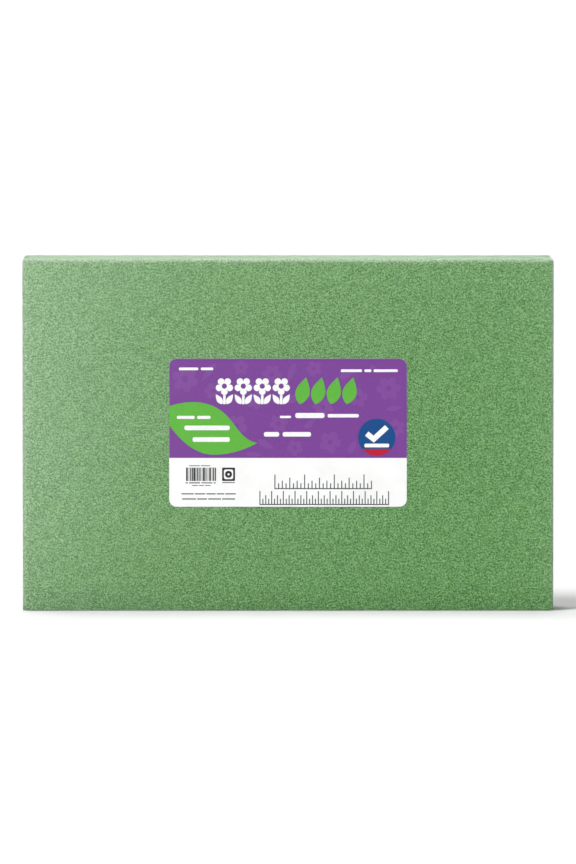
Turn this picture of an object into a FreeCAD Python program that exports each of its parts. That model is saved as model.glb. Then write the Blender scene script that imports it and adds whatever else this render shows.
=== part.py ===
"""Floral foam brick: a cut block of foam with a printed label stuck on its front face.

+X runs along the block's length and +Z up its height. The label is on the -Y face. The origin
is the middle of the long narrow face that the block stands on. All sizes are in millimetres.
"""

import FreeCAD
import Part
import Sketcher
import os

DIMENSIONS = {
    # The block, cut to 17.9 x 11.9 x 2 inches.
    "block_length": 454.66,
    "block_height": 302.26,
    "block_depth": 50.8,
    # Handling softens the top and upright edges. The edges it stands on stay nearly square.
    "worn_edge_radius": 4.0,
    "base_edge_radius": 0.5,
    # The label, die-cut to 8 x 5 inches with quarter-inch corners.
    "label_width": 203.2,
    "label_height": 127.0,
    "label_corner_radius": 6.35,
    "label_centre_height": 152.8,
    # The label's two layers: pressure-sensitive adhesive, then coated paper.
    "adhesive_thickness": 0.05,
    "paper_thickness": 0.1,
}
SHEET_NAME = "dimensions"
OUT_FOLDER = "parts"
TOLERANCE = 1e-4


def make_sheet(doc):
    """A spreadsheet with one named row for each driving dimension."""
    sheet = doc.addObject("Spreadsheet::Sheet", SHEET_NAME)
    for row, (name, value) in enumerate(DIMENSIONS.items(), start=1):
        sheet.set(f"A{row}", name)
        sheet.set(f"B{row}", str(value))
        sheet.setAlias(f"B{row}", name)
    doc.recompute()
    return sheet


def cell(name):
    """The expression that reads one dimension from the sheet."""
    return f"{SHEET_NAME}.{name}"


def make_body(doc, name):
    """An empty body whose Label is its node's name."""
    body = doc.addObject("PartDesign::Body", name)
    body.Label = name
    body.Placement = FreeCAD.Placement()
    return body


def origin_plane(body, role):
    """One of the body's own origin planes, found by its role."""
    return next(item for item in body.Origin.OriginFeatures if item.Role == role)


def upright_rectangle(body, name, width, height, bottom, forward):
    """A rectangle drawn on the XZ plane, as seen from the front.

    It is centred on the Z axis. width and height, bottom, its lowest edge's height, and forward,
    how far in front of the XZ plane it lies, are expressions.
    """
    sketch = body.newObject("Sketcher::SketchObject", name)
    sketch.AttachmentSupport = [(origin_plane(body, "XZ_Plane"), "")]
    sketch.MapMode = "FlatFace"
    sketch.setExpression("AttachmentOffset.Base.z", forward)
    corners = [(-10, 5), (10, 5), (10, 20), (-10, 20)]
    points = [FreeCAD.Vector(x, y, 0) for x, y in corners]
    for start, end in zip(points, points[1:] + points[:1]):
        sketch.addGeometry(Part.LineSegment(start, end), False)
    base, right, top, left = range(4)
    first, last = 1, 2
    root, vertical_axis = -1, -2
    for line, following in ((base, right), (right, top), (top, left), (left, base)):
        sketch.addConstraint(Sketcher.Constraint("Coincident", line, last, following, first))
    sketch.addConstraint(Sketcher.Constraint("Horizontal", top))
    for line in (right, left):
        sketch.addConstraint(Sketcher.Constraint("Vertical", line))
    sketch.addConstraint(
        Sketcher.Constraint("Symmetric", base, first, base, last, vertical_axis)
    )
    sized = (
        ("width", Sketcher.Constraint("DistanceX", base, first, base, last, 20.0), width),
        ("height", Sketcher.Constraint("DistanceY", right, first, right, last, 15.0), height),
        ("bottom", Sketcher.Constraint("DistanceY", root, first, base, first, 5.0), bottom),
    )
    for label, constraint, expression in sized:
        number = sketch.addConstraint(constraint)
        sketch.renameConstraint(number, label)
        sketch.setExpression(f"Constraints.{label}", expression)
    return sketch


def pad(body, name, sketch, length, both_ways=False):
    """A pad of a sketch by an expression, forward or half to each side."""
    feature = body.newObject("PartDesign::Pad", name)
    feature.Profile = sketch
    feature.SideType = "Symmetric" if both_ways else "One side"
    feature.setExpression("Length", length)
    sketch.Visibility = False
    body.Document.recompute()
    return feature


def fillet(body, name, base, radius, chosen):
    """A fillet of the base feature's edges for which chosen(edge) is true."""
    names = [
        f"Edge{number}"
        for number, edge in enumerate(base.Shape.Edges, start=1)
        if chosen(edge)
    ]
    feature = body.newObject("PartDesign::Fillet", name)
    feature.Base = (base, names)
    feature.setExpression("Radius", radius)
    body.Document.recompute()
    return feature


def runs_along(edge, axis):
    """True for a straight edge that is parallel to an axis, given as 0, 1 or 2 for X, Y or Z."""
    spans = (edge.BoundBox.XLength, edge.BoundBox.YLength, edge.BoundBox.ZLength)
    return all(span < TOLERANCE for place, span in enumerate(spans) if place != axis)


def lies_at_height(edge, height):
    """True for an edge that lies wholly in one level plane."""
    box = edge.BoundBox
    return abs(box.ZMin - height) < TOLERANCE and abs(box.ZMax - height) < TOLERANCE


def make_foam_block(doc):
    """The block: a padded rectangle with worn upper edges and nearly square base edges."""
    body = make_body(doc, "foam_block")
    outline = upright_rectangle(
        body, "block_outline", cell("block_length"), cell("block_height"), "0", "0"
    )
    blank = pad(body, "block_blank", outline, cell("block_depth"), both_ways=True)
    top = DIMENSIONS["block_height"]
    worn = fillet(
        body,
        "worn_edges",
        blank,
        cell("worn_edge_radius"),
        lambda edge: runs_along(edge, 2) or lies_at_height(edge, top),
    )
    fillet(
        body,
        "base_edges",
        worn,
        cell("base_edge_radius"),
        lambda edge: lies_at_height(edge, 0.0),
    )
    return body


def make_label_layer(doc, name, thickness, forward):
    """One layer of the label: a thin rectangle with rounded corners on the block's front."""
    body = make_body(doc, name)
    bottom = f"{cell('label_centre_height')} - {cell('label_height')} / 2"
    outline = upright_rectangle(
        body, f"{name}_outline", cell("label_width"), cell("label_height"), bottom, forward
    )
    layer = pad(body, f"{name}_layer", outline, thickness)
    fillet(
        body,
        f"{name}_corners",
        layer,
        cell("label_corner_radius"),
        lambda edge: runs_along(edge, 1),
    )
    return body


def check_document(doc, bodies):
    """Stops the build if any object failed or any sub-part isn't one closed solid."""
    for item in doc.Objects:
        if "Invalid" in item.State or "Error" in item.State:
            raise RuntimeError(f"{item.Name} failed: {item.State}")
    for body in bodies:
        shape = body.Shape
        if shape.isNull() or not shape.isValid() or len(shape.Solids) != 1:
            raise RuntimeError(f"{body.Label} isn't one valid solid")


def main():
    doc = FreeCAD.newDocument("floral_foam_brick")
    make_sheet(doc)
    block_front = f"{cell('block_depth')} / 2"
    paper_back = f"{block_front} + {cell('adhesive_thickness')}"
    bodies = [
        make_foam_block(doc),
        make_label_layer(doc, "label_adhesive", cell("adhesive_thickness"), block_front),
        make_label_layer(doc, "label_paper", cell("paper_thickness"), paper_back),
    ]
    doc.recompute()
    check_document(doc, bodies)
    os.makedirs(OUT_FOLDER, exist_ok=True)
    for body in bodies:
        body.Shape.exportStep(os.path.join(OUT_FOLDER, f"{body.Label}.step"))
        box = body.Shape.BoundBox
        print(
            f"{body.Label}: {body.Shape.Volume:.1f} mm3,"
            f" X {box.XMin:.2f} to {box.XMax:.2f},"
            f" Y {box.YMin:.2f} to {box.YMax:.2f},"
            f" Z {box.ZMin:.2f} to {box.ZMax:.2f}"
        )


main()
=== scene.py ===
"""Floral foam brick: the finished look of a cut foam block with a printed label.

The brick stands on its long narrow face. +X runs along its length, +Z up, and the label is on
the -Y face. Lengths are in metres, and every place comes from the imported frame.
"""

import itertools

import bmesh
import bpy
import numpy as np
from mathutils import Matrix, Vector


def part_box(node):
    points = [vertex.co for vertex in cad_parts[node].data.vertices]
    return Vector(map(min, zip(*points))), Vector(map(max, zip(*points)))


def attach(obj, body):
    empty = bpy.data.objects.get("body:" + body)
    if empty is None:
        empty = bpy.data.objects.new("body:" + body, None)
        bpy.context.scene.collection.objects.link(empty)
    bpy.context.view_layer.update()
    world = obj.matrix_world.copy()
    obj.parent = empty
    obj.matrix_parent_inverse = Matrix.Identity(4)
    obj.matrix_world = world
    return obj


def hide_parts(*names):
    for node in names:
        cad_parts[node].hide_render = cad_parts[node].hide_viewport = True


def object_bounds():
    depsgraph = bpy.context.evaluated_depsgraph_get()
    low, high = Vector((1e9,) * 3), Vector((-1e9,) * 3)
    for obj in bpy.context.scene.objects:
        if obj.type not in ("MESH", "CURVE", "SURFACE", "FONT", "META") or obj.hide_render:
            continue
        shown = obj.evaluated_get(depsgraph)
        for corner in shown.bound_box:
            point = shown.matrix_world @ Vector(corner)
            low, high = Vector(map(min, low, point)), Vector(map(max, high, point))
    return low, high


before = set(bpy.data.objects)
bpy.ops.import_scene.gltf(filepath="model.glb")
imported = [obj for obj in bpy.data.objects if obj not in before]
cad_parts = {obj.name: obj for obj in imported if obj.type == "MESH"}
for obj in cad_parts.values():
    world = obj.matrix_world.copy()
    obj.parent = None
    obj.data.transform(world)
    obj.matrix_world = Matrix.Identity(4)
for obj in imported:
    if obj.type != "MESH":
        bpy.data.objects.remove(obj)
CAD_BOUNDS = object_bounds()

bl_info = {
    "name": "Floral Foam Brick",
    "version": (1, 0, 0),
    "blender": (4, 5, 0),
    "location": "View3D > Sidebar > Foam Brick",
    "description": "Builds a cut foam block with a printed label and its studio",
    "category": "Add Mesh",
}

MM = 0.001
BODY = "root"
FOAM_NODE = "foam_block"
GLUE_NODE = "label_adhesive"
PAPER_NODE = "label_paper"

# The block's edges, as cut and handled, and the grid steps across half of each rounded edge.
WORN_RADIUS = 4.0 * MM
BASE_RADIUS = 0.5 * MM
EDGE_STEPS = 3

# How far wear reaches in from an edge, how strong it is on the upright edges, and the heights
# above the foot and the depths below the top between which it grows. The same mask pales the
# edges' colour, partly as rubbing and partly as painted highlight.
WEAR_REACH = 3.2 * MM
UPRIGHT_WEAR = 0.6
FOOT_BAND = (2.0 * MM, 8.0 * MM)
TOP_BAND = (12.0 * MM, 4.0 * MM)

# The foam's relief: how far apart each kind of unevenness lies, how deep the gentle kinds are,
# and between which values of the noise a pit or a chip grows to its full depth.
PIT_SPACING = 2.9 * MM
LUMP_SPACING = 8.0 * MM
WAVE_SPACING = 60.0 * MM
CHIP_SPACING = 3.0 * MM
LUMP_DEPTH = 0.08 * MM
WAVE_DEPTH = 0.15 * MM
PIT_BAND = (0.58, 0.85)
CHIP_BAND = (0.55, 0.85)
EDGE_CRUMB = 6.0
CRUMB_SEED, PIT_SEED, LUMP_SEED, WAVE_SEED, CHIP_SEED = range(11, 16)

# The label's artwork is laid out in millimetres from the label's centre, x right and z up.
GROUND_FOOT = -21.6
CORNER_RADIUS = 6.35
PRINT_MARGIN = 0.05
BAR_ROUNDING = 0.38
BLOSSOM_EYE = 0.24
SEAL_X, SEAL_Z, SEAL_RADIUS = 75.9, -3.9, 16.0
CODE_SEED = 5


# Shader maths -----------------------------------------------------------------------------


class Socket:
    """One output of a node. Arithmetic on it adds Math nodes, for numbers only."""

    def __init__(self, board, socket):
        self.board = board
        self.socket = socket

    def output(self, name):
        """Another output of the same node."""
        return Socket(self.board, self.socket.node.outputs[name])

    def math(self, operation, first, second):
        """A Math node on two numbers or sockets."""
        return self.board.node("ShaderNodeMath", {"operation": operation}, {0: first, 1: second})

    def __add__(self, other):
        return self.math("ADD", self, other)

    def __sub__(self, other):
        return self.math("SUBTRACT", self, other)

    def __rsub__(self, other):
        return self.math("SUBTRACT", other, self)

    def __mul__(self, other):
        return self.math("MULTIPLY", self, other)

    __radd__ = __add__
    __rmul__ = __mul__


class Board:
    """A node tree that a finish is wired up on."""

    def __init__(self, tree):
        self.tree = tree

    def node(self, kind, settings=None, inputs=None):
        """Adds a node: its settings first, then a value or a link for each named input."""
        node = self.tree.nodes.new(kind)
        for name, value in (settings or {}).items():
            setattr(node, name, value)
        for name, value in (inputs or {}).items():
            self.feed(node.inputs[name], value)
        return Socket(self, node.outputs[0])

    def feed(self, target, value):
        """Links a socket to an input, or sets the input's value."""
        if isinstance(value, Socket):
            self.tree.links.new(value.socket, target)
        else:
            target.default_value = value

    def step(self, value, low, high, bottom=0.0, top=1.0):
        """A smooth step from bottom to top as value goes from low to high."""
        return self.node(
            "ShaderNodeMapRange",
            {"interpolation_type": "SMOOTHSTEP"},
            {"Value": value, "From Min": low, "From Max": high, "To Min": bottom, "To Max": top},
        )

    def blend(self, share, first, second):
        """A mix of two colours."""
        mixed = self.node("ShaderNodeMix", {"data_type": "RGBA"}, {0: share, 6: first, 7: second})
        return mixed.output(2)

    def noise(self, place, scale, detail=2.0, roughness=0.5):
        """Smooth noise from 0 to 1. scale is how many times it varies in a metre."""
        return self.node(
            "ShaderNodeTexNoise",
            {},
            {"Vector": place, "Scale": scale, "Detail": detail, "Roughness": roughness},
        )


def new_finish(name):
    """A material with its board and its one surface shader."""
    material = bpy.data.materials.new(name)
    material.use_nodes = True
    board = Board(material.node_tree)
    shader = material.node_tree.nodes["Principled BSDF"]
    place = board.node("ShaderNodeTexCoord").output("Object")
    return material, board, shader, place


def opaque(colour):
    """A colour property as a four-part colour."""
    return (*colour[:3], 1.0)


# Finishes ---------------------------------------------------------------------------------


def foam_finish(settings):
    """Cut foam: uneven cells, holes in painted shade, films with painted glints, and edges paled
    partly by rubbing and partly as painted highlight.

    A cell's random colour decides three things: red its tone, green whether its film shows a
    painted glint, and blue whether it is an open hole, painted dark as shade. Ripples the size of
    bubbles and slow patches then lighten and darken many cells together, and the foot of the
    block is painted darker, as shade near the floor.
    """
    chosen = (0.8, 0.9)
    wall_band = (0.02, 0.16)
    rub_and_highlight_band = (0.5, 1.0, 0.1, 1.15)
    patch_contrast, tone_lift = 0.1, 0.45
    matt, glint_polish, wall_grit = 0.78, 0.3, 0.1
    bump_strength, bump_depth = 0.55, 0.45
    ripples_per_patch = 2.0
    sheen_spread = 0.45

    material, board, shader, place = new_finish("cut_foam")
    density = 1.0 / settings.cell_size
    cells = board.node("ShaderNodeTexVoronoi", {}, {"Vector": place, "Scale": density})
    tone = board.node("ShaderNodeSeparateColor", {}, {"Color": cells.output("Color")})
    walls = board.node(
        "ShaderNodeTexVoronoi",
        {"feature": "DISTANCE_TO_EDGE"},
        {"Vector": place, "Scale": density},
    )
    wall = board.step(walls, *wall_band, 1.0, 0.0)
    ripple = board.node(
        "ShaderNodeTexGabor",
        {"gabor_type": "3D"},
        {
            "Vector": place,
            "Scale": 1.0 / (ripples_per_patch * settings.bubble_size),
            "Frequency": ripples_per_patch,
            "Anisotropy": 0.0,
        },
    )
    patch = board.noise(place, 1.0 / settings.patch_size)
    wear = board.node("ShaderNodeAttribute", {"attribute_name": "wear"}).output("Fac")
    height = board.node("ShaderNodeSeparateXYZ", {}, {"Vector": place}).output("Z")
    # painted shade: the foot is darkened towards the deep colour, standing in for shade near the
    # floor
    foot = board.step(height, 0.0, settings.painted_foot_shade_height, settings.painted_foot_shade, 0.0)
    middle = 0.5 * (settings.cell_contrast + settings.bubble_contrast) - tone_lift
    lightness = tone * settings.cell_contrast + ripple * settings.bubble_contrast
    lightness = lightness + patch * patch_contrast - foot - middle
    colour = board.blend(
        board.step(lightness, 0.0, 1.0), opaque(settings.deep_colour), opaque(settings.pale_colour)
    )
    # painted shade: chosen cells are painted near-black green to stand in for the shade inside
    # open cells
    hole_shade = board.step(tone.output("Blue"), *chosen)
    colour = board.blend(hole_shade * settings.hole_shade_share, colour, opaque(settings.hole_shade_colour))
    # painted glint: chosen cells are painted pale to stand in for light glinting off cell films;
    # their lower roughness is real gloss
    glint = board.step(tone.output("Green"), *chosen)
    colour = board.blend(glint * settings.painted_glint_share, colour, opaque(settings.painted_glint_colour))
    # partly rubbing, partly painted highlight: edges are paled towards a grey-green, for crushed
    # cells and for the light haze along the rounded edges
    speckle = board.step(tone.output("Green") * 0.5 + ripple, *rub_and_highlight_band)
    rubbed_and_highlight = wear * speckle * settings.rub_and_highlight_share
    colour = board.blend(rubbed_and_highlight, colour, opaque(settings.rubbed_and_highlight_colour))
    board.feed(shader.inputs["Base Color"], colour)
    board.feed(shader.inputs["Roughness"], matt - glint * glint_polish + wall * wall_grit)
    relief = tone.output("Blue") * 0.5 + cells * 0.5
    bump = board.node(
        "ShaderNodeBump",
        {},
        {
            "Strength": bump_strength,
            "Distance": settings.cell_size * bump_depth,
            "Height": relief,
        },
    )
    board.feed(shader.inputs["Normal"], bump)
    shader.inputs["Sheen Weight"].default_value = settings.sheen
    shader.inputs["Sheen Roughness"].default_value = sheen_spread
    return material


def paper_finish(settings):
    """Coated white label stock with faint fibres and a satin face."""
    fibre_scale, cloud_scale = 900.0, 60.0
    thin_stock = (0.84, 0.84, 0.83, 1.0)
    shade_band = (0.2, 0.8)
    satin, fibre_grit = 0.42, 0.12
    bump_strength, bump_depth = 0.15, 0.02 * MM

    material, board, shader, place = new_finish("coated_paper")
    fibres = board.noise(place, fibre_scale, detail=4.0, roughness=0.6)
    clouding = board.noise(place, cloud_scale)
    shade = board.step(fibres * 0.5 + clouding * 0.5, *shade_band)
    colour = board.blend(shade, thin_stock, opaque(settings.paper_colour))
    board.feed(shader.inputs["Base Color"], colour)
    board.feed(shader.inputs["Roughness"], satin + fibres * fibre_grit)
    bump = board.node(
        "ShaderNodeBump",
        {},
        {"Strength": bump_strength, "Distance": bump_depth, "Height": fibres},
    )
    board.feed(shader.inputs["Normal"], bump)
    return material


def ink_finish(name, colour):
    """Printing ink on coated paper: an even colour with the press's faint mottle."""
    mottle_scale, mottle_band, mottle_share = 350.0, (0.3, 0.7), 0.94
    satin, mottle_grit = 0.36, 0.08
    gloss = 0.25

    material, board, shader, place = new_finish(name)
    mottle = board.noise(place, mottle_scale, detail=3.0, roughness=0.6)
    mottle = board.step(mottle, *mottle_band)
    deep = tuple(mottle_share * part for part in colour)
    board.feed(shader.inputs["Base Color"], board.blend(mottle, opaque(deep), opaque(colour)))
    board.feed(shader.inputs["Roughness"], satin + mottle * mottle_grit)
    shader.inputs["Specular IOR Level"].default_value = gloss
    return material


def glue_finish():
    """Clear acrylic adhesive, milky in cloudy patches."""
    cloud_scale = 500.0
    clear, milky = (0.72, 0.70, 0.62, 1.0), (0.86, 0.85, 0.80, 1.0)
    glossy, milky_grit = 0.25, 0.2

    material, board, shader, place = new_finish("acrylic_adhesive")
    cloud = board.noise(place, cloud_scale)
    board.feed(shader.inputs["Base Color"], board.blend(cloud, clear, milky))
    board.feed(shader.inputs["Roughness"], glossy + cloud * milky_grit)
    return material


# Surfaces ---------------------------------------------------------------------------------


def smooth_step(value, low, high):
    """0 below low and 1 above high, with an S-shaped cubic between."""
    share = np.clip((value - low) / (high - low), 0.0, 1.0)
    return share * share * (3.0 - 2.0 * share)


def lattice_noise(points, spacing, seed):
    """Smooth noise from 0 to 1.

    Random numbers stand on a cubic lattice of the given spacing. A point blends its cell's
    eight corners, weighted by how near it is to each, eased with an S-shaped cubic.
    """
    cell = points / spacing
    corner = np.floor(cell).astype(int)
    share = smooth_step(cell - corner, 0.0, 1.0)
    corner -= corner.min(axis=0)
    table = np.random.default_rng(seed).random(corner.max(axis=0) + 2)
    total = np.zeros(len(points))
    for offset in itertools.product((0, 1), repeat=3):
        weight = np.where(np.array(offset) == 1, share, 1.0 - share).prod(axis=1)
        total += weight * table[tuple((corner + offset).T)]
    return total


def grid_quads(columns, rows):
    """The quads of a grid whose points run row by row along its second parameter."""
    corner = np.arange(columns * rows).reshape(columns, rows)
    sides = (corner[:-1, :-1], corner[1:, :-1], corner[1:, 1:], corner[:-1, 1:])
    return np.stack(sides, axis=-1).reshape(-1, 4)


def box_lattice(lines):
    """The surface of a box as one closed net of quads, facing outwards.

    Each of the six faces is a grid of two parameters, the grid lines along its two axes.
    Points that faces share along the box's edges are merged. Returns the points and quads.
    """
    keys, quads, start = [], [], 0
    for axis in range(3):
        first, second = (other for other in range(3) if other != axis)
        shape = (len(lines[first]), len(lines[second]))
        for far in (False, True):
            key = np.zeros((shape[0] * shape[1], 3), int)
            key[:, first], key[:, second] = np.indices(shape).reshape(2, -1)
            key[:, axis] = len(lines[axis]) - 1 if far else 0
            face = grid_quads(*shape)
            # The grid's own normal is +X, -Y or +Z, by the right-hand rule.
            if far == (axis == 1):
                face = face[:, ::-1]
            keys.append(key)
            quads.append(face + start)
            start += len(key)
    places, merged = np.unique(np.concatenate(keys), axis=0, return_inverse=True)
    points = np.stack([line[places[:, axis]] for axis, line in enumerate(lines)], axis=1)
    return points, merged.reshape(-1)[np.concatenate(quads)]


def graded_line(low, high, low_radius, high_radius, spacing, edge_steps):
    """Grid lines from low to high, spaced for a rounded edge at each end.

    Within an edge's radius a line stands where equal angles of the eighth of a circle fall,
    at radius times one minus the angle's tangent. Between the edges they are even.
    """
    falls = 1.0 - np.tan(np.linspace(np.pi / 4.0, 0.0, edge_steps + 1))
    inner_low, inner_high = low + low_radius, high - high_radius
    count = round((inner_high - inner_low) / spacing)
    even = np.linspace(inner_low, inner_high, count + 1)[1:-1]
    return np.concatenate([low + low_radius * falls, even, (high - high_radius * falls)[::-1]])


def soften_box(points, low, high):
    """Rounds a sharp box's edges.

    A point's excess is how far it lies beyond the box that stands WORN_RADIUS inside the
    sides and top. Scaled by its longest part over its length, the excess turns square shells
    into round ones. At the base the same is done across the outline with BASE_RADIUS.
    """
    tiny = 1e-12
    inner_low = np.array([low[0] + WORN_RADIUS, low[1] + WORN_RADIUS, -np.inf])
    excess = points - np.clip(points, inner_low, high - WORN_RADIUS)
    length = np.linalg.norm(excess, axis=1)
    reach = np.abs(excess).max(axis=1)
    round_off = np.divide(reach, length, out=np.ones_like(length), where=length > 0)
    softened = points - excess * (1.0 - round_off)[:, None]

    across = np.abs(excess[:, :2]).max(axis=1)
    side = np.clip(BASE_RADIUS - WORN_RADIUS + across, 0.0, None)
    below = np.clip(BASE_RADIUS - points[:, 2] + low[2], 0.0, None)
    length = np.hypot(side, below)
    reach = np.maximum(side, below)
    pull = 1.0 - np.divide(reach, length, out=np.ones_like(length), where=length > 0)
    outward = excess[:, :2] / np.maximum(np.linalg.norm(excess[:, :2], axis=1), tiny)[:, None]
    softened[:, :2] -= outward * (side * pull)[:, None]
    softened[:, 2] += below * pull
    return softened


def edge_wear_and_highlight(points, low, high):
    """1 on the block's top edges and UPRIGHT_WEAR on its upright ones, fading out further in.

    The distance to the nearest edge is the second smallest of the distances to the box's
    planes, and wear falls off with it as a bell curve, e to the minus of its square over the
    square of WEAR_REACH. The edges that the block stands on are neither rubbed nor given painted
    highlight. The mask sets both the rubbed relief and the pale edge colour, which is partly
    painted highlight.
    """
    gaps = np.sort(np.minimum(points - low, high - points), axis=1)[:, 1]
    rubbed_and_highlight = np.exp(-((gaps / WEAR_REACH) ** 2))
    above_foot = smooth_step(points[:, 2], *(low[2] + height for height in FOOT_BAND))
    near_top = smooth_step(points[:, 2], *(high[2] - depth for depth in TOP_BAND))
    return rubbed_and_highlight * above_foot * (UPRIGHT_WEAR + (1.0 - UPRIGHT_WEAR) * near_top)


def foam_relief(points, wear, settings):
    """How far the cut surface lies below the block's outline.

    It adds a random crumb at every point, coarser on worn edges, pits where smooth noise is
    high, gentle lumps, slow waves left by the cutting wire, and small chips where noise is
    high on a worn edge.
    """
    crumb = np.random.default_rng(CRUMB_SEED).random(len(points))
    pits = smooth_step(lattice_noise(points, PIT_SPACING, PIT_SEED), *PIT_BAND)
    lumps = lattice_noise(points, LUMP_SPACING, LUMP_SEED)
    waves = lattice_noise(points, WAVE_SPACING, WAVE_SEED)
    chips = smooth_step(lattice_noise(points, CHIP_SPACING, CHIP_SEED), *CHIP_BAND)
    return (
        settings.crumb_depth * (1.0 + EDGE_CRUMB * wear) * crumb
        + settings.pit_depth * pits
        + LUMP_DEPTH * lumps
        + WAVE_DEPTH * waves
        + settings.chip_depth * wear * chips
    )


def rounded_outline(left, right, foot, head, foot_radius, head_radius, steps=8):
    """A rectangle's outline with a quarter-circle at each corner, counter-clockwise.

    A corner is its place, its radius, which way is inwards, and where its arc starts, in
    half-turns.
    """
    corners = (
        (right, foot, foot_radius, -1, 1, 1.5),
        (right, head, head_radius, -1, -1, 0.0),
        (left, head, head_radius, 1, -1, 0.5),
        (left, foot, foot_radius, 1, 1, 1.0),
    )
    arcs = []
    for x, z, radius, inward_x, inward_z, start in corners:
        angles = np.pi * (start + np.linspace(0.0, 0.5, steps + 1 if radius else 1))
        arc = np.stack([np.cos(angles), np.sin(angles)], axis=1) * radius
        arcs.append(arc + (x + inward_x * radius, z + inward_z * radius))
    return np.concatenate(arcs)


def fan(outline):
    """Fills an outline that its own centre can see all of, with a fan of triangles."""
    count = len(outline)
    points = np.concatenate([outline, outline.mean(axis=0)[None]])
    rim = np.arange(count)
    return points, np.stack([rim, np.roll(rim, -1), np.full(count, count)], axis=1)


def ring(inner, outer):
    """Fills the space between two outlines of as many points, with quads."""
    count = len(outer)
    rim = np.arange(count)
    ahead = np.roll(rim, -1)
    return np.concatenate([inner, outer]), np.stack(
        [rim, rim + count, ahead + count, ahead], axis=1
    )


def stroke(path, width):
    """A line of even width with mitred corners, as quads along a path."""
    path = np.asarray(path, float)
    run = np.diff(path, axis=0)
    run /= np.linalg.norm(run, axis=1)[:, None]
    across = np.stack([-run[:, 1], run[:, 0]], axis=1)
    before = np.concatenate([across[:1], across])
    after = np.concatenate([across, across[-1:]])
    mitre = (before + after) / (1.0 + (before * after).sum(axis=1))[:, None]
    rail = np.arange(len(path) - 1)
    count = len(path)
    points = np.concatenate([path - mitre * width / 2, path + mitre * width / 2])
    return points, np.stack([rail, rail + 1, rail + 1 + count, rail + count], axis=1)


def circle(x, z, radius, count=64):
    """A circle's outline."""
    angles = np.arange(count) * 2.0 * np.pi / count
    return np.stack([np.cos(angles), np.sin(angles)], axis=1) * radius + (x, z)


def blossom(x, z, radius, petals, eye, turn, steps=24):
    """A blossom with an open eye.

    Its radius is the full radius times 0.5 plus 0.5 times the root of the size of the sine
    of half the petals' angle, so that each petal is round and they meet in notches.
    """
    count = steps * petals
    angles = np.arange(count) * 2.0 * np.pi / count
    reach = radius * (0.5 + 0.5 * np.abs(np.sin(petals * (angles - turn) / 2.0)) ** 0.5)
    rays = np.stack([np.cos(angles), np.sin(angles)], axis=1)
    return ring(rays * eye + (x, z), rays * reach[:, None] + (x, z))


def leaf(base, tip, width, steps=28):
    """A pointed leaf from its base to its tip.

    Its half-width is half the width times the sine of pi times the share of the way along,
    that share raised to 0.8 so that the leaf is fullest nearer its base.
    """
    base, tip = np.array(base, float), np.array(tip, float)
    share = np.linspace(0.0, 1.0, steps + 1)
    half = width / 2.0 * np.sin(np.pi * share**0.8)
    along = tip - base
    across = np.array([-along[1], along[0]]) / np.linalg.norm(along)
    spine = base + share[:, None] * along
    right_side = spine - half[:, None] * across
    left_side = (spine + half[:, None] * across)[::-1]
    return np.concatenate([right_side, left_side[1:-1]])


def curve(*bends, steps=12):
    """A smooth path of cubic curves.

    Each bend is four points, and its curve weights them by the cubic Bernstein terms of the
    share of the way along: (1-t)^3, 3t(1-t)^2, 3t^2(1-t) and t^3.
    """
    share = np.linspace(0.0, 1.0, steps + 1)
    rest = 1.0 - share
    weights = np.stack([rest**3, 3 * share * rest**2, 3 * share**2 * rest, share**3], axis=1)
    return np.concatenate([weights @ np.array(bend, float) for bend in bends])


def ribbon(first, second):
    """Fills the space between two paths of as many points, with quads."""
    count = len(first)
    rail = np.arange(count - 1)
    return np.concatenate([first, second]), np.stack(
        [rail, rail + count, rail + count + 1, rail + 1], axis=1
    )


def word_bars(left, middle, height, lengths, gap):
    """A row of round-ended bars that stands in for a line of type."""
    foot, head, radius = middle - height / 2, middle + height / 2, height * BAR_ROUNDING
    bars = []
    for length in lengths:
        bars.append(fan(rounded_outline(left, left + length, foot, head, radius, radius)))
        left += length + gap
    return bars


def slab(left, right, foot, head):
    """A plain rectangle."""
    return fan(rounded_outline(left, right, foot, head, 0.0, 0.0))


# Artwork ----------------------------------------------------------------------------------


def ground_tone():
    """Large pale blossoms and leaves scattered over the ground.

    A blossom is its x and z, radius, petals and turn. A leaf is its base, tip and width.
    """
    blossoms = (
        (-88, 46, 11.5, 6, 0.2),
        (-40, 56, 6.5, 5, 0.9),
        (-14, 50, 8.5, 6, 0.4),
        (22, 55, 7.0, 5, 0.1),
        (86, 38, 10.5, 6, 0.6),
        (-44, 6, 9.5, 5, 0.3),
        (-8, 8, 8.0, 6, 0.7),
        (36, -8, 9.5, 5, 0.5),
        (92, 4, 8.0, 6, 0.0),
        (6, -13, 7.0, 5, 0.2),
        (60, 30, 8.0, 5, 0.8),
        (-64, 36, 7.5, 6, 0.5),
        (30, 22, 9.0, 6, 0.3),
        (-28, 28, 8.0, 5, 0.6),
    )
    leaves = (
        ((-62, 60), (-74, 44), 6.0),
        ((-24, 38), (-38, 42), 5.0),
        ((6, 60), (0, 44), 6.0),
        ((44, 46), (58, 56), 6.5),
        ((70, 58), (78, 50), 5.0),
        ((-26, -6), (-12, -14), 6.0),
        ((14, 4), (24, 12), 5.5),
        ((52, -18), (58, -6), 5.5),
        ((-36, -18), (-22, -19), 4.0),
        ((84, 20), (98, 22), 5.0),
        ((0, 26), (12, 34), 6.0),
    )
    shapes = [
        blossom(x, z, radius, petals, radius * BLOSSOM_EYE, turn)
        for x, z, radius, petals, turn in blossoms
    ]
    return shapes + [fan(leaf(base, tip, width)) for base, tip, width in leaves]


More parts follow.
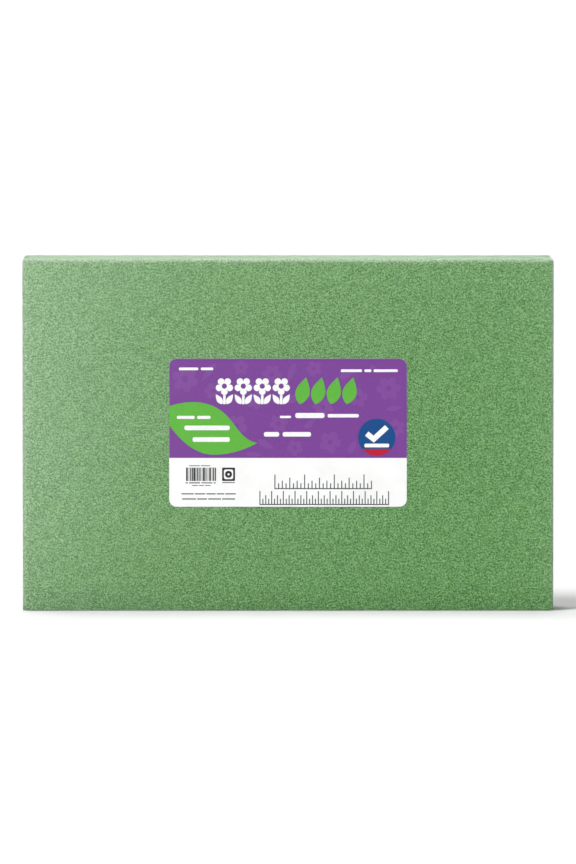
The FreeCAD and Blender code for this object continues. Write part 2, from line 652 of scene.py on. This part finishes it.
def big_leaf():
    """The broad leaf that grows in over the label's left edge, with a curled tip.

    It lies between two smooth paths, its upper and its lower edge.
    """
    upper = curve(
        ((-104.0, 21.8), (-88.0, 28.0), (-70.0, 28.5), (-56.9, 18.7)),
        ((-56.9, 18.7), (-45.5, 10.5), (-41.0, -6.5), (-26.3, -8.7)),
    )
    lower = curve(
        ((-104.0, 9.5), (-95.0, -3.0), (-82.0, -18.6), (-63.8, -18.8)),
        ((-63.8, -18.8), (-49.0, -18.9), (-36.0, -14.2), (-26.3, -8.7)),
    )
    return ribbon(upper, lower)


def ornament_leaves():
    """The right half of the ornament row: upright leaves that lean to the right."""
    foot, head, width = 24.5, 47.5, 12.0
    back, forward = 2.6, 3.0
    places = (12.6, 26.0, 39.4, 52.8)
    return [fan(leaf((x - back, foot), (x + forward, head), width)) for x in places]


def ornament_flowers():
    """The left half of the ornament row: four flowers, each with a stem and two leaves."""
    bloom_z, radius, petals, eye, turn = 40.0, 7.6, 5, 2.2, np.pi / 10
    stem, stem_foot, stem_head = 1.1, 24.5, 32.3
    leaf_gap, leaf_reach, leaf_foot, leaf_tip, leaf_width = 1.7, 7.4, 24.6, 33.0, 4.8
    shapes = []
    for x in (-54.4, -38.2, -22.0, -5.8):
        shapes.append(blossom(x, bloom_z, radius, petals, eye, turn))
        shapes.append(slab(x - stem, x + stem, stem_foot, stem_head))
        for side in (-1, 1):
            base = (x + side * leaf_gap, leaf_foot)
            tip = (x + side * leaf_reach, leaf_tip)
            shapes.append(fan(leaf(base, tip, leaf_width)))
    return shapes


def seal_cap():
    """The seal's lower cap: the part of its disc below a level chord.

    depth is how far the chord lies below the disc's centre, as a share of its radius.
    """
    depth, inset, count = 0.64, 0.3, 33
    dip = np.arcsin(depth)
    angles = np.linspace(np.pi + dip, 2.0 * np.pi - dip, count)
    arc = np.stack([np.cos(angles), np.sin(angles)], axis=1) * (SEAL_RADIUS - inset)
    return fan(arc + (SEAL_X, SEAL_Z))


def seal_marks():
    """The seal's tick with a bar under it, laid out from the seal's centre."""
    bends = np.array([(-8.6, 3.2), (-2.6, -1.6), (8.6, 8.8)])
    tick_width = 4.6
    bar_half, bar_foot, bar_head, bar_radius = 10.6, -8.6, -5.4, 1.2
    bar = rounded_outline(
        SEAL_X - bar_half,
        SEAL_X + bar_half,
        SEAL_Z + bar_foot,
        SEAL_Z + bar_head,
        bar_radius,
        bar_radius,
    )
    return [stroke(bends + (SEAL_X, SEAL_Z), tick_width), fan(bar)]


def type_bars():
    """Round-ended bars where the label would carry lines of type.

    A row is its left end, its middle's height, its bars' height, their lengths and the gap.
    """
    rows = (
        (-93.2, 54.8, 2.3, (16.5, 10.5), 2.2),
        (45.2, 53.2, 2.3, (18.0, 6.0, 20.6), 2.0),
        (-6.9, 13.6, 2.0, (9.5,), 0.0),
        (6.2, 14.8, 4.4, (25.0,), 0.0),
        (33.9, 14.6, 3.0, (26.6,), 0.0),
        (-20.6, -1.3, 3.9, (13.0, 24.2), 3.0),
        (-95.0, 13.2, 2.7, (15.2, 11.4), 2.2),
        (-88.6, 4.2, 4.0, (38.8,), 0.0),
        (-81.6, -5.8, 4.0, (31.8,), 0.0),
    )
    return [bar for row in rows for bar in word_bars(*row)]


def bar_pattern():
    """A plain pattern of upright bars, and a square frame with a small ring in it beside them.

    The bars and gaps have seeded random widths that code nothing. The bars, which are every
    other width, are made twice as wide.
    """
    foot, head = -41.4, -29.9
    left, span, count = -87.2, 25.6, 37
    square_left, square_right, border = -56.4, -45.3, 1.6
    outer_rounding, inner_rounding = 0.8, 1.4
    ring_inner, ring_outer, ring_points = 0.9, 3.0, 40

    widths = np.random.default_rng(CODE_SEED).integers(1, 4, count)
    widths[::2] *= 2
    edges = np.cumsum(np.concatenate([[0], widths]))
    edges = left + edges * span / edges[-1]
    bars = [slab(start, end, foot, head) for start, end in zip(edges[::2], edges[1::2])]
    inside = rounded_outline(
        square_left + border,
        square_right - border,
        foot + border,
        head - border,
        inner_rounding,
        inner_rounding,
    )
    outside = rounded_outline(
        square_left, square_right, foot, head, outer_rounding, outer_rounding
    )
    x, z = (square_left + square_right) / 2, (foot + head) / 2
    dot = ring(circle(x, z, ring_inner, ring_points), circle(x, z, ring_outer, ring_points))
    return bars + [ring(inside, outside), dot]


def scale_ticks(left, foot, height, spacing, count, majors):
    """A measuring scale: a base line with upright ticks, taller at round numbers.

    majors lists how often each kind of tick comes, the tallest first, with its share of the
    full height.
    """
    width = 0.9
    right = left + spacing * (count - 1)
    ticks = [slab(left - width / 2, right + width / 2, foot, foot + width)]
    for number in range(count):
        share = next(part for every, part in majors if number % every == 0)
        x = left + spacing * number
        ticks.append(slab(x - width / 2, x + width / 2, foot + width, foot + height * share))
    return ticks


def scales_and_small_type():
    """Two measuring scales, in eighths of an inch and in steps of 2.5 mm, and rows of fine bars.

    A row is laid out as in type_bars.
    """
    inch_pitch, metric_pitch = 25.4 / 8, 2.5
    inch_majors = ((8, 1.0), (4, 0.78), (2, 0.58), (1, 0.4))
    metric_majors = ((4, 1.0), (2, 0.7), (1, 0.45))
    shapes = scale_ticks(-11.2, -48.4, 12.6, inch_pitch, 27, inch_majors)
    shapes += scale_ticks(-24.0, -62.0, 12.0, metric_pitch, 45, metric_majors)
    rows = (
        (-84.5, -28.3, 0.7, (9.0, 8.0), 1.0),
        (-87.6, -43.0, 0.9, (2.0, 9.6, 9.6, 2.0), 0.9),
        (-82.0, -45.2, 0.7, (5.0, 4.4, 5.0), 0.7),
        (-56.4, -42.8, 0.7, (11.1,), 0.0),
        (-91.2, -52.4, 1.0, (10.5, 9.0, 8.0, 6.5, 9.0), 0.9),
        (-90.6, -56.8, 1.0, (12.0, 8.5, 11.0, 11.2), 0.9),
    )
    return shapes + [bar for row in rows for bar in word_bars(*row)]


# Pieces -----------------------------------------------------------------------------------


def add_piece(name, points, faces, material):
    """Makes a mesh piece that rides on the one body."""
    mesh = bpy.data.meshes.new(name)
    mesh.from_pydata(points.tolist(), [], faces)
    mesh.materials.append(material)
    piece = bpy.data.objects.new(name, mesh)
    bpy.context.scene.collection.objects.link(piece)
    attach(piece, BODY)
    return piece


def label_points(flat, layer):
    """Label artwork in millimetres as points on the label's face, layer metres in front of it."""
    low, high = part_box(PAPER_NODE)
    x = (low[0] + high[0]) / 2 + flat[:, 0] * MM
    z = (low[2] + high[2]) / 2 + flat[:, 1] * MM
    return np.stack([x, np.full(len(flat), low[1] - layer), z], axis=1)


def thicken(piece, thickness):
    """Gives a sheet its thickness, behind the face that shows."""
    shell = piece.modifiers.new("thickness", "SOLIDIFY")
    shell.thickness = thickness
    shell.offset = -1.0


def print_ink(name, layer, colour, shapes):
    """Prints shapes in one ink, as one piece, layer steps above the paper."""
    settings = bpy.context.scene.brick_label
    ink_depth = 0.8
    points, faces, start = [], [], 0
    for flat, shape_faces in shapes:
        points.append(flat)
        faces.extend((shape_faces + start).tolist())
        start += len(flat)
    points = label_points(np.concatenate(points), layer * settings.ink_step)
    piece = add_piece(name, points, faces, ink_finish(name, colour))
    trim_to_label(piece.data)
    thicken(piece, settings.ink_step * ink_depth)


def trim_to_label(mesh):
    """Cuts a print off where it runs past the label's left or right edge."""
    low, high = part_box(PAPER_NODE)
    form = bmesh.new()
    form.from_mesh(mesh)
    for corner, outward in ((low, -1.0), (high, 1.0)):
        bmesh.ops.bisect_plane(
            form,
            geom=form.verts[:] + form.edges[:] + form.faces[:],
            plane_co=Vector((corner[0], 0.0, 0.0)),
            plane_no=Vector((outward, 0.0, 0.0)),
            clear_outer=True,
        )
    form.to_mesh(mesh)
    form.free()


# Settings ---------------------------------------------------------------------------------


def colour_property(name, description, default):
    """A colour, in linear light."""
    return bpy.props.FloatVectorProperty(
        name=name, description=description, default=default, subtype="COLOR", min=0.0, max=1.0
    )


def length_property(name, description, default):
    """A length in metres."""
    return bpy.props.FloatProperty(
        name=name,
        description=description,
        default=default,
        min=0.0,
        precision=5,
        subtype="DISTANCE",
        unit="LENGTH",
    )


def angle_property(name, description, degrees):
    """An angle, given in degrees and kept in radians."""
    return bpy.props.FloatProperty(
        name=name,
        description=description,
        default=np.radians(degrees),
        subtype="ANGLE",
        unit="ROTATION",
    )


def share_property(name, description, default, high=1.0):
    """A share from 0 to 1, or to high."""
    return bpy.props.FloatProperty(
        name=name, description=description, default=default, min=0.0, max=high, subtype="FACTOR"
    )


def power_property(name, description, default):
    """A light's power or the room's brightness."""
    return bpy.props.FloatProperty(name=name, description=description, default=default, min=0.0)


class BrickFoamSettings(bpy.types.PropertyGroup):
    """Sizes and colours of the foam."""

    spacing: length_property("Grid Spacing", "Distance between surface points", 1.93 * MM)
    cell_size: length_property("Cell Size", "Width of one foam cell", 0.62 * MM)
    bubble_size: length_property("Bubble Size", "Pitch of the larger bubbles", 2.4 * MM)
    patch_size: length_property("Patch Size", "Width of slow changes of tone", 22.0 * MM)
    crumb_depth: length_property("Crumb Depth", "Depth of the random crumb", 0.045 * MM)
    pit_depth: length_property("Pit Depth", "Depth of open pits", 0.12 * MM)
    chip_depth: length_property("Chip Depth", "Depth of chips on worn edges", 0.5 * MM)
    cell_contrast: share_property("Cell Contrast", "How much cells differ in tone", 1.0, 2.0)
    bubble_contrast: share_property("Bubble Contrast", "How much bubbles differ", 1.65, 2.0)
    # the foot's painted shade: how high it reaches and how much darker it makes the foam
    painted_foot_shade_height: length_property("Foot Height", "How high the darker foot reaches", 25.0 * MM)
    painted_foot_shade: share_property("Foot Shade", "How much darker the foot is", 0.23)
    # painted glint: how far glinting cells are painted towards the glint colour
    painted_glint_share: share_property("Glint Share", "How pale the glinting films are", 0.6)
    # partly rubbing, partly painted highlight: how pale the edges are painted
    rub_and_highlight_share: share_property("Rub Share", "How pale the handled edges are", 0.9)
    # painted shade: how far open cells are darkened towards the hole colour
    hole_shade_share: share_property("Hole Share", "How dark the open cells are", 0.8)
    sheen: share_property("Sheen", "Pale bloom at glancing angles", 0.7)
    # painted shade: the dark colour that stands in for shade inside an open cell
    hole_shade_colour: colour_property("Hole Colour", "Inside an open cell", (0.003, 0.06, 0.001))
    deep_colour: colour_property("Deep Colour", "A shaded cell", (0.012, 0.13, 0.001))
    pale_colour: colour_property("Pale Colour", "Cut cell walls", (0.155, 0.37, 0.105))
    # painted glint: the pale colour that stands in for light off cell films
    painted_glint_colour: colour_property("Film Colour", "Cell films that catch light", (0.34, 0.56, 0.28))
    # partly rubbing, partly painted highlight: the pale colour of the edges
    rubbed_and_highlight_colour: colour_property("Rubbed Colour", "Crushed edges", (0.29, 0.31, 0.275))


class BrickLabelSettings(bpy.types.PropertyGroup):
    """Sizes and colours of the label."""

    ink_step: length_property("Ink Step", "Height of one layer of ink", 0.03 * MM)
    paper_colour: colour_property("Paper", "Bare label stock", (0.93, 0.93, 0.93))
    ground_colour: colour_property("Ground", "Violet ground", (0.185, 0.05, 0.29))
    tone_colour: colour_property("Tone", "Pale pattern on the ground", (0.212, 0.066, 0.315))
    leaf_colour: colour_property("Leaf", "Bright green", (0.11, 0.44, 0.045))
    seal_colour: colour_property("Seal", "Deep blue", (0.002, 0.065, 0.24))
    cap_colour: colour_property("Seal Cap", "Red", (0.5, 0.006, 0.025))
    white_colour: colour_property("White Ink", "White motifs", (0.9, 0.9, 0.9))
    black_colour: colour_property("Black Ink", "Bars", (0.02, 0.02, 0.02))
    grey_colour: colour_property("Grey Ink", "Scales and small type", (0.06, 0.06, 0.065))


class BrickStageSettings(bpy.types.PropertyGroup):
    """The studio."""

    camera_distance: length_property("Camera Distance", "From the block's centre", 10.0)
    view_height: length_property("View Height", "Height that the camera frames", 0.7407)
    camera_rise: angle_property("Camera Rise", "Angle of the camera above level", 4.3)
    aim_lift: length_property("Aim Lift", "How far above the centre it aims", 0.4 * MM)
    key_bearing: angle_property("Key Bearing", "How far left of the front it hangs", 58.0)
    key_height: angle_property("Key Height", "How far above level it hangs", 54.0)
    key_spread: angle_property("Key Spread", "How wide it looks from the block", 22.0)
    key_strength: power_property("Key Strength", "Power of the main light", 3.65)
    crown_bearing: angle_property("Crown Bearing", "How far left of the front it hangs", 155.0)
    crown_height: angle_property("Crown Height", "How far above level it hangs", 78.0)
    crown_spread: angle_property("Crown Spread", "How wide it looks from the block", 22.0)
    crown_strength: power_property("Crown Strength", "Power of the light overhead", 2.3)
    fill_bearing: angle_property("Fill Bearing", "How far left of the front it hangs", -62.0)
    fill_height: angle_property("Fill Height", "How far above level it hangs", 8.0)
    fill_strength: power_property("Fill Strength", "Power of the low front light", 1.5)
    side_gloss: power_property("Side Gloss", "Power of the strip at the left", 4.1)
    top_gloss: power_property("Top Gloss", "Power of the strip above", 0.8)
    right_gloss: power_property("Right Gloss", "Power of the strip at the right", 0.12)
    back_gloss: power_property("Back Gloss", "Power of the strip behind", 0.8)
    room_back: power_property("Back", "Brightness of the room behind the block", 0.1)
    room_front: power_property("Front", "Brightness of the room before it", 0.08)
    floor_colour: colour_property("Floor", "Floor paint", (0.565, 0.565, 0.565))


# Operators --------------------------------------------------------------------------------


class BRICK_OT_foam(bpy.types.Operator):
    """Make the cut foam block"""

    bl_idname = "brick.foam"
    bl_label = "Foam Block"

    def execute(self, context):
        settings = context.scene.brick_foam
        low, high = (np.array(corner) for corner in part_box(FOAM_NODE))
        low_radii = (WORN_RADIUS, WORN_RADIUS, BASE_RADIUS)
        lines = [
            graded_line(
                low[axis], high[axis], low_radii[axis], WORN_RADIUS, settings.spacing, EDGE_STEPS
            )
            for axis in range(3)
        ]
        sharp, quads = box_lattice(lines)
        points = soften_box(sharp, low, high)
        wear = edge_wear_and_highlight(points, low, high)
        piece = add_piece("foam_body", points, quads.tolist(), foam_finish(settings))
        mesh = piece.data
        mesh.shade_smooth()
        normals = np.empty(len(points) * 3)
        mesh.vertex_normals.foreach_get("vector", normals)
        depth = foam_relief(points, wear, settings)
        points -= normals.reshape(-1, 3) * depth[:, None]
        mesh.vertices.foreach_set("co", points.ravel())
        mesh.attributes.new("wear", "FLOAT", "POINT").data.foreach_set("value", wear)
        mesh.update()
        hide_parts(FOAM_NODE)
        return {"FINISHED"}


class BRICK_OT_adhesive(bpy.types.Operator):
    """Give the label's adhesive layer its finish"""

    bl_idname = "brick.adhesive"
    bl_label = "Adhesive"

    def execute(self, context):
        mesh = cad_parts[GLUE_NODE].data
        mesh.materials.clear()
        mesh.materials.append(glue_finish())
        return {"FINISHED"}


class BRICK_OT_paper(bpy.types.Operator):
    """Make the label's paper"""

    bl_idname = "brick.paper"
    bl_label = "Label Paper"

    def execute(self, context):
        settings = context.scene.brick_label
        low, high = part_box(PAPER_NODE)
        half_width = (high[0] - low[0]) / 2 / MM
        half_height = (high[2] - low[2]) / 2 / MM
        outline = rounded_outline(
            -half_width, half_width, -half_height, half_height, CORNER_RADIUS, CORNER_RADIUS
        )
        flat, faces = fan(outline)
        points = label_points(flat, 0.0)
        finish = paper_finish(settings)
        piece = add_piece("label_sheet", points, faces.tolist(), finish)
        thicken(piece, high[1] - low[1])
        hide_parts(PAPER_NODE)
        return {"FINISHED"}


class BRICK_OT_ground(bpy.types.Operator):
    """Print the violet ground and its pale pattern"""

    bl_idname = "brick.ground"
    bl_label = "Printed Ground"

    def execute(self, context):
        settings = context.scene.brick_label
        low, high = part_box(PAPER_NODE)
        half_width = (high[0] - low[0]) / 2 / MM - PRINT_MARGIN
        head = (high[2] - low[2]) / 2 / MM - PRINT_MARGIN
        outline = rounded_outline(-half_width, half_width, GROUND_FOOT, head, 0.0, CORNER_RADIUS)
        print_ink("ink_ground", 1, settings.ground_colour, [fan(outline)])
        print_ink("ink_tone", 2, settings.tone_colour, ground_tone())
        return {"FINISHED"}


class BRICK_OT_motifs(bpy.types.Operator):
    """Print the leaf, the ornament row, the seal and the white type bars"""

    bl_idname = "brick.motifs"
    bl_label = "Printed Motifs"

    def execute(self, context):
        settings = context.scene.brick_label
        seal = fan(circle(SEAL_X, SEAL_Z, SEAL_RADIUS, count=96))
        white = ornament_flowers() + seal_marks() + type_bars()
        print_ink("ink_green", 3, settings.leaf_colour, [big_leaf()] + ornament_leaves())
        print_ink("ink_blue", 3, settings.seal_colour, [seal])
        print_ink("ink_red", 4, settings.cap_colour, [seal_cap()])
        print_ink("ink_white", 5, settings.white_colour, white)
        return {"FINISHED"}


class BRICK_OT_codes(bpy.types.Operator):
    """Print the bar pattern, the scales and the small type on the white band"""

    bl_idname = "brick.codes"
    bl_label = "Printed Scales"

    def execute(self, context):
        settings = context.scene.brick_label
        print_ink("ink_black", 1, settings.black_colour, bar_pattern())
        print_ink("ink_grey", 1, settings.grey_colour, scales_and_small_type())
        return {"FINISHED"}


class BRICK_OT_stage(bpy.types.Operator):
    """Set up the floor, the lights and the camera"""

    bl_idname = "brick.stage"
    bl_label = "Studio"

    def execute(self, context):
        settings = context.scene.brick_stage
        scene = context.scene
        low, high = (Vector(corner) for corner in CAD_BOUNDS)
        centre = (low + high) / 2 + Vector((0.0, 0.0, settings.aim_lift))

        self.place_camera(scene, centre, settings)
        self.lay_floor(scene, low.z, settings)

        key = (settings.key_bearing, settings.key_height)
        crown = (settings.crown_bearing, settings.crown_height)
        fill = (settings.fill_bearing, settings.fill_height)
        self.hang_softbox(scene, "key", *key, settings.key_spread, settings.key_strength)
        self.hang_softbox(scene, "crown", *crown, settings.crown_spread, settings.crown_strength)
        self.hang_softbox(scene, "fill", *fill, settings.key_spread, settings.fill_strength)
        self.hang_strips(scene, low, high, centre, settings)

        scene.world = bpy.data.worlds.new("studio")
        self.light_world(scene.world, settings)
        scene.view_settings.view_transform = "Standard"
        return {"FINISHED"}

    def place_camera(self, scene, centre, settings):
        """Aims a camera at the block, with a lens that frames view_height at its distance."""
        camera = bpy.data.objects.new("camera", bpy.data.cameras.new("camera"))
        rise = settings.camera_rise
        towards = Vector((0.0, -np.cos(rise), np.sin(rise)))
        camera.location = centre + towards * settings.camera_distance
        camera.rotation_euler = (-towards).to_track_quat("-Z", "Y").to_euler()
        camera.data.lens = (
            camera.data.sensor_width * settings.camera_distance / settings.view_height
        )
        scene.collection.objects.link(camera)
        scene.camera = camera

    def lay_floor(self, scene, level, settings):
        """Lays a wide floor under the block."""
        reach = 60.0
        flat, faces = slab(-reach, reach, -reach, reach)
        mesh = bpy.data.meshes.new("floor")
        ground = np.stack([flat[:, 0], flat[:, 1], np.full(len(flat), level)], axis=1)
        mesh.from_pydata(ground.tolist(), [], faces.tolist())
        mesh.materials.append(self.floor_finish(settings))
        floor = bpy.data.objects.new("floor", mesh)
        scene.collection.objects.link(floor)

    def hang_softbox(self, scene, name, bearing, height, spread, power):
        """Hangs a far light: bearing is its angle left of the front, height its angle up."""
        light = bpy.data.lights.new(name, "SUN")
        light.energy = power
        light.angle = spread
        lamp = bpy.data.objects.new(name, light)
        level = np.cos(height)
        shine = Vector((np.sin(bearing) * level, np.cos(bearing) * level, -np.sin(height)))
        lamp.rotation_euler = shine.to_track_quat("-Z", "Y").to_euler()
        scene.collection.objects.link(lamp)

    def hang_strips(self, scene, low, high, centre, settings):
        """Hangs four strips round the block's left, right, top front and top back edges.

        A strip is a name, which is also its power's setting, an edge's place, how far from
        there it hangs and where it aims, and its width and height.
        """
        side_lift = 0.04
        left_edge = Vector((low.x, low.y, centre.z + side_lift))
        right_edge = Vector((high.x, low.y, centre.z))
        front_edge = Vector((centre.x, low.y, high.z))
        back_edge = Vector((centre.x, high.y, high.z))
        strips = (
            ("side_gloss", left_edge, (-0.08, -0.16, 0.0), (0.06, 0.0, 0.0), 0.08, 0.46),
            ("right_gloss", right_edge, (0.03, -0.03, 0.0), (0.0, 0.0, 0.0), 0.04, 0.36),
            ("top_gloss", front_edge, (0.0, -0.1, 0.07), (0.0, 0.0, -0.01), 0.5, 0.05),
            ("back_gloss", back_edge, (0.0, 0.05, 0.12), (0.0, -0.02, 0.0), 0.5, 0.05),
        )
        for name, edge, away, aim, width, height in strips:
            power = getattr(settings, name)
            self.hang_gloss(
                scene, name, edge + Vector(away), edge + Vector(aim), width, height, power
            )

    def hang_gloss(self, scene, name, place, aim, width, height, power):
        """Hangs a strip light that only glosses the surfaces near it."""
        light = bpy.data.lights.new(name, "AREA")
        light.shape = "RECTANGLE"
        light.size = width
        light.size_y = height
        light.energy = power
        lamp = bpy.data.objects.new(name, light)
        lamp.location = place
        lamp.rotation_euler = (aim - place).to_track_quat("-Z", "Y").to_euler()
        lamp.visible_diffuse = False
        lamp.visible_camera = False
        scene.collection.objects.link(lamp)

    def floor_finish(self, settings):
        """Pale matt paint with the faintest roller mottle."""
        mottle_scale, mottle_share, matt = 12.0, 0.99, 0.9
        material, board, shader, place = new_finish("floor_paint")
        mottle = board.noise(place, mottle_scale)
        deep = tuple(mottle_share * part for part in settings.floor_colour)
        colour = board.blend(mottle, opaque(deep), opaque(settings.floor_colour))
        board.feed(shader.inputs["Base Color"], colour)
        shader.inputs["Roughness"].default_value = matt
        shader.inputs["Specular IOR Level"].default_value = 0.0
        return material

    def light_world(self, world, settings):
        """A soft room: white below the horizon, pale behind the block and dim before it."""
        below_brightness, horizon_band, room_band = 1.1, (-0.005, 0.0), (-0.5, 0.5)
        world.use_nodes = True
        board = Board(world.node_tree)
        place = board.node("ShaderNodeTexCoord").output("Generated")
        way = board.node("ShaderNodeSeparateXYZ", {}, {0: place})
        sky = board.step(way.output("Y"), *room_band, settings.room_front, settings.room_back)
        below = board.step(way.output("Z"), *horizon_band, 1.0, 0.0)
        strength = sky + below * below_brightness
        background = world.node_tree.nodes["Background"]
        background.inputs["Color"].default_value = (1.0, 1.0, 1.0, 1.0)
        board.feed(background.inputs["Strength"], strength)


class BRICK_PT_panel(bpy.types.Panel):
    """Lists the brick's pieces in the order they are made"""

    bl_label = "Foam Brick"
    bl_idname = "BRICK_PT_panel"
    bl_space_type = "VIEW_3D"
    bl_region_type = "UI"
    bl_category = "Foam Brick"

    def draw(self, context):
        for maker in MAKERS:
            self.layout.operator(maker.bl_idname)


SETTINGS = {
    "brick_foam": BrickFoamSettings,
    "brick_label": BrickLabelSettings,
    "brick_stage": BrickStageSettings,
}
MAKERS = (
    BRICK_OT_stage,
    BRICK_OT_foam,
    BRICK_OT_adhesive,
    BRICK_OT_paper,
    BRICK_OT_ground,
    BRICK_OT_motifs,
    BRICK_OT_codes,
)


def register():
    """Registers the settings, the operators and the panel."""
    for name, group in SETTINGS.items():
        bpy.utils.register_class(group)
        setattr(bpy.types.Scene, name, bpy.props.PointerProperty(type=group))
    for item in (*MAKERS, BRICK_PT_panel):
        bpy.utils.register_class(item)


def unregister():
    """Takes back what register added, in the opposite order."""
    for item in (BRICK_PT_panel, *reversed(MAKERS)):
        bpy.utils.unregister_class(item)
    for name, group in reversed(SETTINGS.items()):
        delattr(bpy.types.Scene, name)
        bpy.utils.unregister_class(group)


def main():
    """Makes every piece in turn."""
    register()
    for maker in MAKERS:
        group, name = maker.bl_idname.split(".")
        getattr(getattr(bpy.ops, group), name)()
    bpy.context.view_layer.update()


if __name__ == "__main__":
    main()
